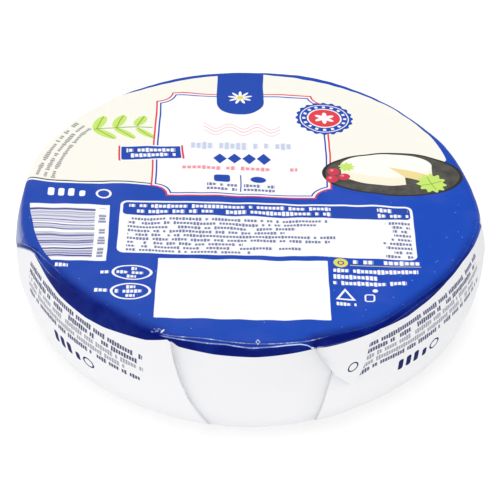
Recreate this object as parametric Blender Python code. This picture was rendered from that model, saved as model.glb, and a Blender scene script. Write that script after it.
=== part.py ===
# Brie wheel shut in its paper wrap: a low round cheese inside one folded sheet.
# Metres, +Z up. The origin is at the middle of the underside, and the front is at -Y.
# A bearing is in degrees round the wheel, 0 at the front and 90 at +X.

import math

import bmesh
import bpy

# Driving dimensions of the wheel
CREASE_RADIUS = 0.0685
BELLY_RADIUS = 0.0708
FOOT_RADIUS = 0.0672
HEIGHT = 0.0336
TOP_ROUND = 0.0021
FOOT_ROUND = 0.0021

# A hand-made cheese is a little out of round and higher at the back left
LOBES = ((2, 0.00028, -14.0), (3, 0.00032, 51.0), (4, 0.00036, -9.7), (5, 0.00031, 4.5))
RISE_TO_RIGHT = -0.0283
RISE_TO_BACK = 0.0146
SWELL = 0.00022
SWELL_RIGHT = 95.0
SWELL_BACK = 77.0
SWELL_START = 0.008

# Pleats: the sheet's corners make four wide panels, and they lie over four narrow ones.
# The pleat at the front right has a kink where its fold opens into a small pointed flap.
# Each has its bearings at the crease and at the foot, its kink, and its corner's bearing.
FRONT_LEFT_PLEAT = (-18.4, -9.5, 0.0, -22.3)
FRONT_RIGHT_PLEAT = (14.5, 15.8, 3.9, 31.0)
NARROW_CENTRES = (98.0, 180.0, 271.0)
NARROW_AT_CREASE = 17.0
NARROW_AT_FOOT = 9.5
LEAN_POWER = 1.3
KINK_DEPTH = 0.0135
KINK_SPREAD = 0.0060
LAP_RISE = 0.00038
LAP_SINK = 0.00012
LAP_FADE = 0.0075
LAP_START = 0.0045
LAP_GAP = 0.00030

# The top edge runs in short chords from pleat to pleat, with a blunt corner by each.
# Round the back the sheet is drawn tighter, and the corners are slighter.
FRONT_CORNER = 0.0017
BACK_CORNER = 0.0006
CORNER_WIDTH = 8.4
CORNER_REACH = 0.007
CHORD_SHARE = 0.26
CHORD_WIDTH = 24.0

# The narrow panels lie deeper under the wheel, where the corners are folded over them
RECESS = 0.00035
RECESS_START = 0.0040
RECESS_END_RADIUS = 0.030

# Facets
WIDE_COLUMNS = 15
NARROW_COLUMNS = 9
TOP_RINGS = (0.22, 0.45, 0.65, 0.82, 0.93)
ROUND_STEPS = 4
SIDE_STEPS = 11
UNDER_RINGS = (0.94, 0.84, 0.70, 0.55, 0.44, 0.25)

# Finish
PAPER_WHITE = (0.84, 0.85, 0.87, 1.0)
PRINT_BLUE = (0.012, 0.045, 0.36, 1.0)
PRINT_RADIUS = 0.0755


def clear_scene():
    for item in list(bpy.data.objects):
        bpy.data.objects.remove(item, do_unlink=True)


def smooth_step(value):
    value = min(max(value, 0.0), 1.0)
    return value * value * (3.0 - 2.0 * value)


def side_slope(share):
    """How far the side leans out for each metre down, at a share of the way down."""
    middle = BELLY_RADIUS - (CREASE_RADIUS + FOOT_RADIUS) / 2.0
    across = FOOT_RADIUS - CREASE_RADIUS + 4.0 * middle * (1.0 - 2.0 * share)
    return across / (HEIGHT - TOP_ROUND - FOOT_ROUND)


def side_point(share):
    middle = BELLY_RADIUS - (CREASE_RADIUS + FOOT_RADIUS) / 2.0
    radius = CREASE_RADIUS + (FOOT_RADIUS - CREASE_RADIUS) * share
    radius += 4.0 * middle * share * (1.0 - share)
    height = (HEIGHT - TOP_ROUND) * (1.0 - share) + FOOT_ROUND * share
    return radius, height


def round_points(centre, size, first, last):
    """Points on an arc of the profile, from one facing angle to another, in degrees."""
    points = []
    for step in range(ROUND_STEPS + 1):
        angle = math.radians(first + (last - first) * step / ROUND_STEPS)
        points.append((centre[0] + size * math.cos(angle), centre[1] + size * math.sin(angle)))
    return points


def profile():
    """Half outline of the wheel from the middle of its top to the middle of its underside."""
    top_lean = math.degrees(math.atan(side_slope(0.0)))
    foot_lean = math.degrees(math.atan(side_slope(1.0)))
    top_centre = (CREASE_RADIUS - TOP_ROUND, HEIGHT - TOP_ROUND)
    foot_centre = (FOOT_RADIUS - FOOT_ROUND, FOOT_ROUND)
    points = [(0.0, HEIGHT)]
    points += [(share * top_centre[0], HEIGHT) for share in TOP_RINGS]
    points += round_points(top_centre, TOP_ROUND, 90.0, top_lean)
    points += [side_point(step / SIDE_STEPS) for step in range(1, SIDE_STEPS)]
    points += round_points(foot_centre, FOOT_ROUND, foot_lean, -90.0)
    points += [(share * foot_centre[0], 0.0) for share in UNDER_RINGS]
    points.append((0.0, 0.0))
    return points


def depths(points):
    """Length of paper from the crease to each point of the profile, less than 0 on the top."""
    crease = 1 + len(TOP_RINGS) + ROUND_STEPS // 2
    along = [0.0]
    for before, after in zip(points, points[1:]):
        along.append(along[-1] + math.dist(before, after))
    return [value - along[crease] for value in along]


def facings(points):
    """Outward direction of the profile at each point, as (outwards, upwards)."""
    found = []
    for index, point in enumerate(points):
        before = points[max(index - 1, 0)]
        after = points[min(index + 1, len(points) - 1)]
        length = math.dist(before, after)
        found.append(((before[1] - after[1]) / length, (after[0] - before[0]) / length))
    return found


def pleats():
    """Every pleat in turn from the front left, two to each narrow panel."""
    found = [FRONT_LEFT_PLEAT, FRONT_RIGHT_PLEAT]
    for centre in NARROW_CENTRES:
        for side in (-1.0, 1.0):
            crease = centre + side * NARROW_AT_CREASE
            found.append((crease, centre + side * NARROW_AT_FOOT, 0.0, crease))
    return found


def pleat_bearing(pleat, depth, side_depth):
    crease, foot, kink, corner = pleat
    share = min(max(depth / side_depth, 0.0), 1.0)
    bearing = crease + (foot - crease) * share**LEAN_POWER
    if depth > 0.0:
        bearing += kink * math.exp(-(((depth - KINK_DEPTH) / KINK_SPREAD) ** 2))
    return bearing


def columns():
    """Each column of vertices as (panel number, share of the way across the panel)."""
    found = []
    for panel in range(8):
        count = NARROW_COLUMNS if panel % 2 == 0 else WIDE_COLUMNS
        found += [(panel, step / count) for step in range(count + 1)]
    return found


def turn_between(first, second):
    return (first - second + 180.0) % 360.0 - 180.0


def lobe_draw(bearing):
    """How far the wheel stands out from its mean radius at a bearing."""
    found = 0.0
    for lobes, size, crest in LOBES:
        found += size * math.cos(lobes * math.radians(bearing - crest))
    return found


def corner_draw(bearing):
    """How far the crease stands out at a corner, or lies in along the chord beside it."""
    found = 0.0
    for crease, foot, kink, corner in pleats():
        away = turn_between(bearing, corner)
        rise = math.exp(-((away / CORNER_WIDTH) ** 2))
        rise -= CHORD_SHARE * math.exp(-((away / CHORD_WIDTH) ** 2))
        front = max(math.cos(math.radians(corner)), 0.0)
        found += (BACK_CORNER + (FRONT_CORNER - BACK_CORNER) * front) * rise
    return found


def lap_height(wide, from_edge, depth, under):
    """Rise of an upper panel, or sink of a lower one, near the pleat at its edge."""
    fade = max(1.0 - from_edge / LAP_FADE, 0.0) ** 2
    start = smooth_step(depth / LAP_START)
    return (LAP_RISE if wide else -LAP_SINK) * fade * start * (1.0 - under)


def shaped(point, facing, depth, column, side_depth):
    """Place of one vertex of the wrapped wheel."""
    panel, share = column
    radius, height = point
    edges = pleats()
    first = pleat_bearing(edges[panel], depth, side_depth)
    last = pleat_bearing(edges[(panel + 1) % 8], depth, side_depth)
    width = (last - first) % 360.0
    gap = math.degrees(LAP_GAP / CREASE_RADIUS) / 2.0
    bearing = first + gap + (width - 2.0 * gap) * share
    wide = panel % 2 == 1
    edge_share = min(share, 1.0 - share)
    from_edge = math.radians(width) * edge_share * CREASE_RADIUS
    under = smooth_step((depth - side_depth) / RECESS_START)
    draw = lobe_draw(bearing) + corner_draw(bearing) * math.exp(-((depth / CORNER_REACH) ** 2))
    out = radius * (1.0 + draw / CREASE_RADIUS)
    out += facing[0] * lap_height(wide, from_edge, depth, under)
    angle = math.radians(bearing)
    x = out * math.sin(angle)
    y = -out * math.cos(angle)
    z = height * (1.0 + (RISE_TO_RIGHT * x + RISE_TO_BACK * y) / HEIGHT)
    if depth < 0.0:
        wave = math.sin(SWELL_RIGHT * x + 0.7) * math.cos(SWELL_BACK * y + 0.4)
        z += SWELL * wave * smooth_step(-depth / SWELL_START)
    if not wide:
        z += RECESS * under * smooth_step((radius - RECESS_END_RADIUS) / RECESS_START)
    return x, y, z


def wheel_mesh(name):
    """Spins a post whose height counts the profile's points, then shapes it into the wheel."""
    points = profile()
    turns = columns()
    depth_at = depths(points)
    facing_at = facings(points)
    side_depth = depth_at[len(points) - len(UNDER_RINGS) - 2]
    work = bmesh.new()
    post = []
    for index, point in enumerate(points):
        post.append(work.verts.new((1.0 if point[0] > 0.0 else 0.0, 0.0, float(index))))
    rails = [work.edges.new(pair) for pair in zip(post, post[1:])]
    bmesh.ops.spin(
        work,
        geom=post + rails,
        axis=(0.0, 0.0, 1.0),
        cent=(0.0, 0.0, 0.0),
        angle=2.0 * math.pi,
        steps=len(turns),
        use_merge=True,
    )
    bmesh.ops.remove_doubles(work, verts=work.verts, dist=1e-5)
    for vertex in work.verts:
        row = round(vertex.co.z)
        turn = math.atan2(vertex.co.y, vertex.co.x) / (2.0 * math.pi)
        column = turns[round(turn * len(turns)) % len(turns)]
        vertex.co = shaped(points[row], facing_at[row], depth_at[row], column, side_depth)
    bmesh.ops.recalc_face_normals(work, faces=work.faces)
    for face in work.faces:
        middle = face.calc_center_median()
        printed = math.hypot(middle.x, middle.y) + HEIGHT - middle.z < PRINT_RADIUS
        face.material_index = 1 if printed and middle.z > HEIGHT / 2.0 else 0
    mesh = bpy.data.meshes.new(name)
    work.to_mesh(mesh)
    work.free()
    mesh.shade_smooth()
    mesh.set_sharp_from_angle(angle=math.radians(40.0))
    return mesh


def paper(name, colour, roughness):
    material = bpy.data.materials.new(name)
    material.use_nodes = True
    shader = material.node_tree.nodes["Principled BSDF"]
    shader.inputs["Base Color"].default_value = colour
    shader.inputs["Roughness"].default_value = roughness
    shader.inputs["Metallic"].default_value = 0.0
    return material


def main():
    clear_scene()
    collection = bpy.data.collections.new("brie_wheel")
    bpy.context.scene.collection.children.link(collection)
    mesh = wheel_mesh("wrapped_wheel")
    mesh.materials.append(paper("white_paper", PAPER_WHITE, 0.55))
    mesh.materials.append(paper("blue_print", PRINT_BLUE, 0.35))
    wheel = bpy.data.objects.new("wrapped_wheel", mesh)
    collection.objects.link(wheel)


main()
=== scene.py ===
# Looks of the brie wheel in its paper wrap: the folded sheet, its print and its finish.
# Metres, +Z up. The origin is at the middle of the underside, and the front is at -Y.
# A bearing is in degrees round the wheel, 0 at the front and 90 at +X.
# A depth is the length of paper down from the top crease, less than 0 on the top.

import math
from functools import partialmethod

import bmesh
import bpy
import numpy as np
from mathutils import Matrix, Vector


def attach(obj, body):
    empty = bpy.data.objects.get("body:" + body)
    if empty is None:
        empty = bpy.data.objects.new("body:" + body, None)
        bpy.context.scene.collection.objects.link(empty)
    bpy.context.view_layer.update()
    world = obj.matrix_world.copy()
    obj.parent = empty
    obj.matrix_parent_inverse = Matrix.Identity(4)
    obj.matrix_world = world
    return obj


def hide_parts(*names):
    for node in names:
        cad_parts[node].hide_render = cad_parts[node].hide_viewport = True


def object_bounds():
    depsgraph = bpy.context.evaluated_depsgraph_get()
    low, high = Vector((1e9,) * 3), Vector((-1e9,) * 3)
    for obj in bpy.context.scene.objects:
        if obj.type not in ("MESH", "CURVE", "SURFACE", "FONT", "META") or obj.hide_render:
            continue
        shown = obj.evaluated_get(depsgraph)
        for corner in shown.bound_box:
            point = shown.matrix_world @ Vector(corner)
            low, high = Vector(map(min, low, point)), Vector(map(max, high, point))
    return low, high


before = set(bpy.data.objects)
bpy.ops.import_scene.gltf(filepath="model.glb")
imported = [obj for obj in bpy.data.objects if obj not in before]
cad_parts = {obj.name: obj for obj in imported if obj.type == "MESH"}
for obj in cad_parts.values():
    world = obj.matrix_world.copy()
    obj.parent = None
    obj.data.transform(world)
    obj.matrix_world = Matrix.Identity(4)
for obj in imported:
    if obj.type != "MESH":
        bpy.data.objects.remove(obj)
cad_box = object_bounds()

# Millimetres in a metre
MILLIMETRES = 1000.0

# Driving dimensions of the wheel
CREASE_RADIUS = 0.0685
BELLY_RADIUS = 0.0708
FOOT_RADIUS = 0.0672
HEIGHT = 0.0336
TOP_ROUND = 0.0021
FOOT_ROUND = 0.0021

# A hand-made cheese is a little out of round and higher at the back left
LOBES = ((2, 0.00028, -14.0), (3, 0.00032, 51.0), (4, 0.00036, -9.7), (5, 0.00031, 4.5))
RISE_TO_RIGHT = -0.0283
RISE_TO_BACK = 0.0146

# Pleats, each with its bearings at the crease and at the foot, and its corner's bearing
FRONT_LEFT_PLEAT = (-18.4, -9.5, -22.3)
FRONT_RIGHT_PLEAT = (14.5, 15.8, 31.0)
NARROW_CENTRES = (98.0, 180.0, 271.0)
NARROW_AT_CREASE = 17.0
NARROW_AT_FOOT = 9.5
LEAN_POWER = 1.3
LAP_GAP = 0.00010
LAP_RISE = 0.00036
LAP_SINK = 0.00060
LAP_RISE_FADE = 0.0060
LAP_SINK_FADE = 0.0060
LAP_START = 0.0035
# Painted shade on a lower layer beside the edge of the layer over it: its reach, its share on the
# narrow panels, and its extra share near the top with its spread
LAP_SHADE_REACH = 0.0030
LAP_SHADE_NARROW = 0.55
LAP_SHADE_UPPER = (0.8, 0.009)

# The pleat at the front right is bent by a small pointed flap, as places (depth, bearing)
BENT_PLEAT = ((0.0, 14.5), (0.0042, 15.4), (0.0077, 16.9), (0.0116, 18.7), (0.0132, 18.3),
              (0.0180, 17.5), (0.0249, 16.8), (0.0330, 16.2), (0.0360, 15.8))
FLAP_UPPER_LEFT = (0.0116, 18.7)
FLAP_TIP = (0.0178, 23.5)
FLAP_RIGHT_EDGE = ((0.0016, 31.3), (0.0050, 28.0), (0.0105, 26.6))
FLAP_RISE = 0.00075
FLAP_PANEL = 9
VALLEY_SINK = 0.00030
VALLEY_WIDTH = 0.0020
FLAP_DRAG = 0.065
FLAP_DRAG_FROM = 31.0
FLAP_DRAG_POWER = 1.6
FLAP_DRAG_DEPTH = 0.015
FLAP_EDGE_WIDTH = 0.28
FLAP_SHADE_REACH = 0.8
FLAP_SHADE_END = (0.0015, 0.003)
FLAP_RISE_END = (0.0006, 0.0012)
VALLEY_FADE = 0.005
VALLEY_SHADE = 0.35
BESIDE_FLAP_SHADE = (0.5, 0.5)

# Corners and chords of the top edge
FRONT_CORNER = 0.0017
BACK_CORNER = 0.0006
CORNER_WIDTH = 8.4
CORNER_REACH = 0.007
CHORD_SHARE = 0.26
CHORD_WIDTH = 24.0

# Crumpled creases along the top edge, as (bearing, depth) of the two sharp folds
UPPER_CREASE = ((-84.0, 0.0098), (-78.0, 0.0088), (-74.0, 0.0054), (-70.0, 0.0024),
                (-67.0, 0.0008), (-64.0, 0.0001), (-57.0, -0.0006), (-40.0, -0.0006),
                (-18.9, 0.0001), (-10.0, -0.0004), (-0.5, 0.0),
                (4.0, 0.0001), (8.5, 0.0002), (13.9, 0.0004), (20.0, -0.0001), (45.0, -0.0004))
LOWER_CREASE = ((-84.0, 0.0113), (-78.0, 0.0103), (-74.0, 0.0068), (-70.0, 0.0038),
                (-67.0, 0.0020), (-64.7, 0.0010), (-57.5, 0.0018), (-40.0, 0.0008),
                (-18.8, 0.0006), (-10.0, 0.0008), (-5.6, 0.0006), (0.0, 0.0012),
                (4.0, 0.0010), (8.4, 0.0008), (11.5, 0.0009), (13.2, 0.0016),
                (14.5, 0.0029), (45.0, 0.0010))
HOOK = (14.5, 2.75)
CREASE_LIFT = 0.00016
CREASE_DIP = 0.00014
CREASE_SPREAD = 0.00030
DIP_SPREAD = 1.4

# Where those folds are sharp, each end as a bearing and the width of its fade
CREASE_START = (-21.0, 2.5)
CREASE_END = (17.5, 3.0)
CREASE_BEYOND = 0.08
CREASE_LEFT = ((-84.0, 4.0), (-50.0, 12.0))
CREASE_LEFT_SHARE = 0.55

# Ripples of the sheet: their height, and their length, number of waves and seed
TOP_RIPPLE = 0.00010
TOP_WAVES = (0.019, 12, 7)
TOP_FADE = 0.006
SIDE_RIPPLE = 0.00013
SIDE_WAVES = (0.016, 9, 4)
SIDE_FADE = 0.004
RIM_RIPPLE = 0.00022
RIM_WAVES = (0.007, 8, 11)
RIM_STRETCH = 0.5
RIM_MIDDLE = -0.003
RIM_SPREAD = 0.004

# Depth to which a rise also lifts the sheet, and the width of its fade
LIFT_END = (0.012, 0.004)

# Underside: the narrow panels end in points, and a round sticker holds the folds
UNDER_FADE = 0.004
POINT_RADIUS = 0.030
POINT_FADE = 0.002
RECESS = 0.00030
STICKER_RADIUS = 0.021
STICKER_RISE = 0.00010
STICKER_FADE = 0.0003

# Rim of the cream field, as (bearing, depth)
FIELD_RIM = (
    (100.0, -0.0045), (105.0, -0.0034), (110.0, -0.0026), (115.0, -0.0021), (120.0, -0.0015),
    (127.0, -0.0011), (136.0, -0.0011), (145.0, -0.0016), (155.0, -0.0021), (165.0, -0.0026),
    (172.0, -0.0021), (180.0, -0.0014), (190.0, -0.0021), (200.0, -0.0023), (206.0, -0.0019),
    (215.0, -0.0014), (221.0, 0.0004), (230.0, 0.0060), (262.0, 0.0060), (280.0, 0.0120),
)

# Lower edge of the blue print, as (bearing, depth)
BLUE_EDGE = (
    (-84.0, 0.0115), (-78.0, 0.0105), (-74.0, 0.0070), (-70.0, 0.0040), (-67.0, 0.0022),
    (-64.7, 0.0012), (-57.5, 0.0035), (-50.9, 0.0051), (-41.6, 0.00605),
    (-35.7, 0.0058), (-30.1, 0.0048), (-24.2, 0.0035), (-19.0, 0.0013), (-16.5, 0.0031),
    (-8.4, 0.0039), (1.2, 0.0040), (14.7, 0.0031), (21.9, 0.00275), (31.3, 0.0016),
    (40.2, 0.00275), (47.2, 0.0022), (55.3, 0.0010), (64.1, 0.0006), (82.6, 0.0024),
    (98.0, 0.0034), (115.0, 0.0018), (139.0, 0.0042), (163.0, 0.0017), (180.0, 0.0036),
    (197.0, 0.0017), (226.0, 0.0044), (246.0, 0.0024), (256.0, 0.0046),
    (266.0, 0.0090), (276.0, 0.0115),
)

# Rows of print on the wide panels: start bearing, depth of the first row, its slope in
# millimetres down for each degree, and the rows' length, in millimetres
SIDE_ROWS = {
    1: (24.2, 4.6, -0.030, 58.0),
    3: (124.0, 4.9, 0.030, 40.0),
    5: (209.0, 5.2, -0.030, 44.0),
    7: (294.5, 3.9, 0.125, 50.0),
}

# Painted shade that darkens the blue where the sheet turns down, and a painted sheen that makes
# the blue pale low on the left side. Depths are given with the width of their fade, and bearings
# too.
TURN_SHADE_AROUND = ((-66.0, 14.0), (80.0, 18.0))
TURN_SHADE_FRONT = ((-21.5, 3.0), (15.5, 4.0))
TURN_SHADE_STRIP = ((-86.0, 4.0), (-58.0, 4.0))
TURN_SHADE_STRIP_EDGE = (-0.0019, 0.0004)
TURN_SHADE_STRIP_SHARE = 0.8
TURN_SHADE_SOFT = (-0.0035, 0.0048)
TURN_SHADE_SHARP = (-0.0012, 0.0010)
TURN_SHADE_SHARP_SHARE = 0.45
TURN_SHADE_STEP = 0.0003
TURN_SHADE_BACK = 0.16
LEFT_SHEEN_BEARING = -88.0
LEFT_SHEEN_REACH = (22.0, 8.0)
LEFT_SHEEN_DEPTH = (0.0005, 0.007)
LEFT_SHEEN_SHARE = 0.6

# The flap holds one small sign and no rows, and this length of rows says so
FLAP_MARK = 0.5

# Facets
SHARP_ANGLE = 38.0
WIDE_COLUMNS = 84
NARROW_COLUMNS = 44
FLAP_COLUMNS = (5, 26, 66)
TOP_RINGS = 32
ROUND_STEPS = 12
UPPER_SIDE = 0.2
UPPER_SIDE_STEPS = 18
LOWER_SIDE_STEPS = 44
UNDER_RINGS = 24

# Camera and light
CAMERA_ELEVATION = 38.4347
CAMERA_DISTANCE = 0.5432
FOCAL_PIXELS = 1735.21
PHOTO_PIXELS = 500.0
AXIS_PIXEL = (250.13, 280.82)
SENSOR = 36.0
WORLD_STRENGTH = 0.60
FLOOR_GLOW = 0.45
FLOOR_GREY = 0.60
FLOOR_HALF = 4.0

# Softboxes: name, place, width and power
SOFTBOXES = (
    ("overhead_softbox", (0.0, 0.20, 1.3), 1.2, 8.9),
    ("front_softbox", (0.30, -1.45, 0.30), 1.2, 6.0),
    ("left_softbox", (-1.3, -0.1, 0.35), 0.6, 3.0),
)


def smooth_step(value):
    value = np.clip(value, 0.0, 1.0)
    return value * value * (3.0 - 2.0 * value)


def fade(value, start, width):
    """0 up to a start and 1 past the width of its fade."""
    return smooth_step((value - start) / width)


def fade_out(value, end, width):
    """1 up to the width of the fade before an end, and 0 past it."""
    return smooth_step((end - value) / width)


def between(value, start, end):
    """1 between two ends and 0 beyond them, each with the width of its fade."""
    return fade(value, *start) * fade_out(value, *end)


def arc(bearing):
    """Length round the crease of a turn in degrees."""
    return np.radians(bearing) * CREASE_RADIUS


def side_slope(share):
    """How far the side leans out for each metre down, at a share of the way down."""
    middle = BELLY_RADIUS - (CREASE_RADIUS + FOOT_RADIUS) / 2.0
    across = FOOT_RADIUS - CREASE_RADIUS + 4.0 * middle * (1.0 - 2.0 * share)
    return across / (HEIGHT - TOP_ROUND - FOOT_ROUND)


def side_point(share):
    middle = BELLY_RADIUS - (CREASE_RADIUS + FOOT_RADIUS) / 2.0
    radius = CREASE_RADIUS + (FOOT_RADIUS - CREASE_RADIUS) * share
    radius += 4.0 * middle * share * (1.0 - share)
    height = (HEIGHT - TOP_ROUND) * (1.0 - share) + FOOT_ROUND * share
    return radius, height


def round_points(centre, size, first, last):
    points = []
    for step in range(ROUND_STEPS + 1):
        angle = math.radians(first + (last - first) * step / ROUND_STEPS)
        points.append((centre[0] + size * math.cos(angle), centre[1] + size * math.sin(angle)))
    return points


def outline():
    """Half outline of the wheel from the middle of its top to the middle of its underside."""
    top_lean = math.degrees(math.atan(side_slope(0.0)))
    foot_lean = math.degrees(math.atan(side_slope(1.0)))
    top_centre = (CREASE_RADIUS - TOP_ROUND, HEIGHT - TOP_ROUND)
    foot_centre = (FOOT_RADIUS - FOOT_ROUND, FOOT_ROUND)
    points = [(0.0, HEIGHT)]
    for ring in range(1, TOP_RINGS):
        points.append(((1.0 - (1.0 - ring / TOP_RINGS) ** 1.7) * top_centre[0], HEIGHT))
    points += round_points(top_centre, TOP_ROUND, 90.0, top_lean)
    for step in range(1, UPPER_SIDE_STEPS + 1):
        points.append(side_point(UPPER_SIDE * step / UPPER_SIDE_STEPS))
    for step in range(1, LOWER_SIDE_STEPS):
        points.append(side_point(UPPER_SIDE + (1.0 - UPPER_SIDE) * step / LOWER_SIDE_STEPS))
    points += round_points(foot_centre, FOOT_ROUND, foot_lean, -90.0)
    for ring in range(1, UNDER_RINGS):
        points.append((foot_centre[0] * (1.0 - ring / UNDER_RINGS), 0.0))
    points.append((0.0, 0.0))
    return np.array(points)


def paper_lengths(points):
    """Length of paper from the crease to each point of the outline."""
    steps = np.linalg.norm(np.diff(points, axis=0), axis=1)
    along = np.concatenate(([0.0], np.cumsum(steps)))
    return along - along[TOP_RINGS + ROUND_STEPS // 2]


def facings(points):
    """Outward direction of the outline at each point, as (outwards, upwards)."""
    before = np.vstack((points[:1], points[:-1]))
    after = np.vstack((points[1:], points[-1:]))
    along = after - before
    length = np.linalg.norm(along, axis=1)
    return np.stack((-along[:, 1] / length, along[:, 0] / length), axis=1)


def pleats():
    """Every pleat in turn from the front left, two to each narrow panel."""
    found = [FRONT_LEFT_PLEAT, FRONT_RIGHT_PLEAT]
    for centre in NARROW_CENTRES:
        for side in (-1.0, 1.0):
            crease = centre + side * NARROW_AT_CREASE
            found.append((crease, centre + side * NARROW_AT_FOOT, crease))
    return found


def pleat_line(pleat, depth, side_depth):
    """Bearing of a pleat at each depth."""
    if pleat is FRONT_RIGHT_PLEAT:
        return along_depth(BENT_PLEAT, depth)
    crease, foot, corner = pleat
    share = np.clip(depth / side_depth, 0.0, 1.0)
    return crease + (foot - crease) * share**LEAN_POWER


def along_depth(places, depth):
    """Value at each depth, read between the given places down the side."""
    return np.interp(depth, [place[0] for place in places], [place[1] for place in places])


def fold_lines(points, depth, side_depth):
    """Bearings of all pleats at each point of the outline, drawn to a point underneath."""
    lines = [pleat_line(pleat, depth, side_depth) for pleat in pleats()]
    reach = (points[:, 0] - POINT_RADIUS) / (FOOT_RADIUS - POINT_RADIUS)
    open_share = np.where(depth > side_depth, np.clip(reach, 0.02, 1.0), 1.0)
    for first in range(0, len(lines), 2):
        middle = (lines[first] + lines[first + 1]) / 2.0
        for index in (first, first + 1):
            lines[index] = middle + (lines[index] - middle) * open_share
    return lines


def flap_lines(pleat, depth):
    """Left and right edges of the pointed flap, which close up below its tip."""
    tip = (FLAP_TIP[0], FLAP_TIP[1] + FLAP_EDGE_WIDTH)
    right = along_depth((*FLAP_RIGHT_EDGE, tip), depth)
    slant = along_depth((FLAP_UPPER_LEFT, FLAP_TIP), depth)
    left = np.where(depth > FLAP_UPPER_LEFT[0], np.maximum(slant, pleat + FLAP_EDGE_WIDTH),
                    pleat + FLAP_EDGE_WIDTH)
    return left, np.maximum(right, left + FLAP_EDGE_WIDTH)


def edge_shares(count):
    """Shares of the way across a strip, closer together by its edges."""
    share = np.arange(count + 1) / count
    return 0.45 * share + 0.55 * smooth_step(share)


def lobe_draw(bearing):
    """How far the wheel stands out from its mean radius at a bearing."""
    found = 0.0
    for lobes, size, crest in LOBES:
        found = found + size * np.cos(lobes * np.radians(bearing - crest))
    return found


def turn_between(first, second):
    return (first - second + 180.0) % 360.0 - 180.0


def corner_draw(bearing):
    """How far the crease stands out at a corner, or lies in along the chord beside it."""
    found = 0.0
    for pleat in pleats():
        corner = pleat[2]
        away = turn_between(bearing, corner)
        rise = np.exp(-((away / CORNER_WIDTH) ** 2))
        rise = rise - CHORD_SHARE * np.exp(-((away / CHORD_WIDTH) ** 2))
        front = max(math.cos(math.radians(corner)), 0.0)
        found = found + (BACK_CORNER + (FRONT_CORNER - BACK_CORNER) * front) * rise
    return found


def along_bearing(places, bearing):
    """Value at each bearing, read between the given places round the wheel."""
    turned = (bearing - places[0][0]) % 360.0 + places[0][0]
    return np.interp(turned, [place[0] for place in places], [place[1] for place in places])


def ripples(first, second, length, waves, seed):
    """Uneven waves of about one length, between -1 and 1."""
    draw = np.random.default_rng(seed)
    found = np.zeros_like(first)
    for wave in range(waves):
        turn = draw.uniform(0.0, 2.0 * math.pi)
        pitch = 2.0 * math.pi / (length * draw.uniform(0.6, 1.6))
        across = first * math.cos(turn) + second * math.sin(turn)
        found += np.sin(pitch * across + draw.uniform(0.0, 2.0 * math.pi))
    return found / waves


def strips(points, depth, side_depth):
    """Strips of the sheet in turn, as (left line, right line, shares across, kind)."""
    lines = fold_lines(points, depth, side_depth)
    found = []
    for panel in range(8):
        left = lines[panel]
        right = lines[(panel + 1) % 8] + (360.0 if panel == 7 else 0.0)
        if panel == 1:
            flap_left, flap_right = flap_lines(left, depth)
            edges = (left, flap_left, flap_right, right)
            for index, kind in enumerate(("under_flap", "flap", "wide")):
                share = edge_shares(FLAP_COLUMNS[index])
                number = FLAP_PANEL if kind == "flap" else panel
                found.append((edges[index], edges[index + 1], share, kind, number))
        else:
            wide = panel % 2 == 1
            share = edge_shares(WIDE_COLUMNS if wide else NARROW_COLUMNS)
            found.append((left, right, share, "wide" if wide else "narrow", panel))
    return found


def sheet_grid():
    """Place of every vertex of the wrapped wheel, by row of the outline and by column."""
    points = outline()
    depth = paper_lengths(points)
    facing = facings(points)
    side_depth = depth[len(points) - UNDER_RINGS - 1]
    gap = math.degrees(LAP_GAP / CREASE_RADIUS) / 2.0
    bearings = []
    rises = []
    shades = []
    panels = []
    for left, right, share, kind, panel in strips(points, depth, side_depth):
        width = (right - left)[:, None]
        bearing = left[:, None] + gap + (width - 2.0 * gap) * share[None, :]
        bearings.append(bearing)
        rises.append(strip_rise(kind, panel, left, right, bearing, depth))
        shades.append(lap_shade(kind, left, right, bearing, depth))
        panels += [panel] * len(share)
    bearing = np.hstack(bearings)
    rise = np.hstack(rises)
    depth, radius, height, outwards, upwards = (
        np.repeat(values[:, None], bearing.shape[1], axis=1)
        for values in (depth, points[:, 0], points[:, 1], facing[:, 0], facing[:, 1])
    )
    draw = lobe_draw(bearing) + corner_draw(bearing) * np.exp(-((depth / CORNER_REACH) ** 2))
    angle = np.radians(bearing)
    rise = rise + crease_rise(bearing, depth)
    on_side = smooth_step(depth / SIDE_FADE)
    rise = rise + SIDE_RIPPLE * ripples(arc(bearing), depth, *SIDE_WAVES) * on_side
    rim = np.exp(-(((depth - RIM_MIDDLE) / RIM_SPREAD) ** 2))
    rise = rise + RIM_RIPPLE * ripples(arc(bearing), depth * RIM_STRETCH, *RIM_WAVES) * rim
    rise = rise * (1.0 - fade(depth, side_depth, UNDER_FADE))
    out = radius * (1.0 + draw / CREASE_RADIUS) + outwards * rise
    x = out * np.sin(angle)
    y = -out * np.cos(angle)
    z = height * (1.0 + (RISE_TO_RIGHT * x + RISE_TO_BACK * y) / HEIGHT)
    z += upwards * rise * fade_out(depth, *LIFT_END)
    z += TOP_RIPPLE * ripples(x, y, *TOP_WAVES) * smooth_step(-depth / TOP_FADE)
    z += under_rise(bearing, radius, depth, side_depth, panels)
    places = np.stack((x, y, z), axis=-1)
    return places, bearing, depth, np.hstack(shades), np.array(panels)


def edges_of_strip(left, right, bearing, depth):
    """Lengths from a strip's left and right edges, and how far its laps have started."""
    from_left = arc(bearing - left[:, None])
    from_right = arc(right[:, None] - bearing)
    return from_left, from_right, smooth_step(depth / LAP_START)[:, None]


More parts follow.
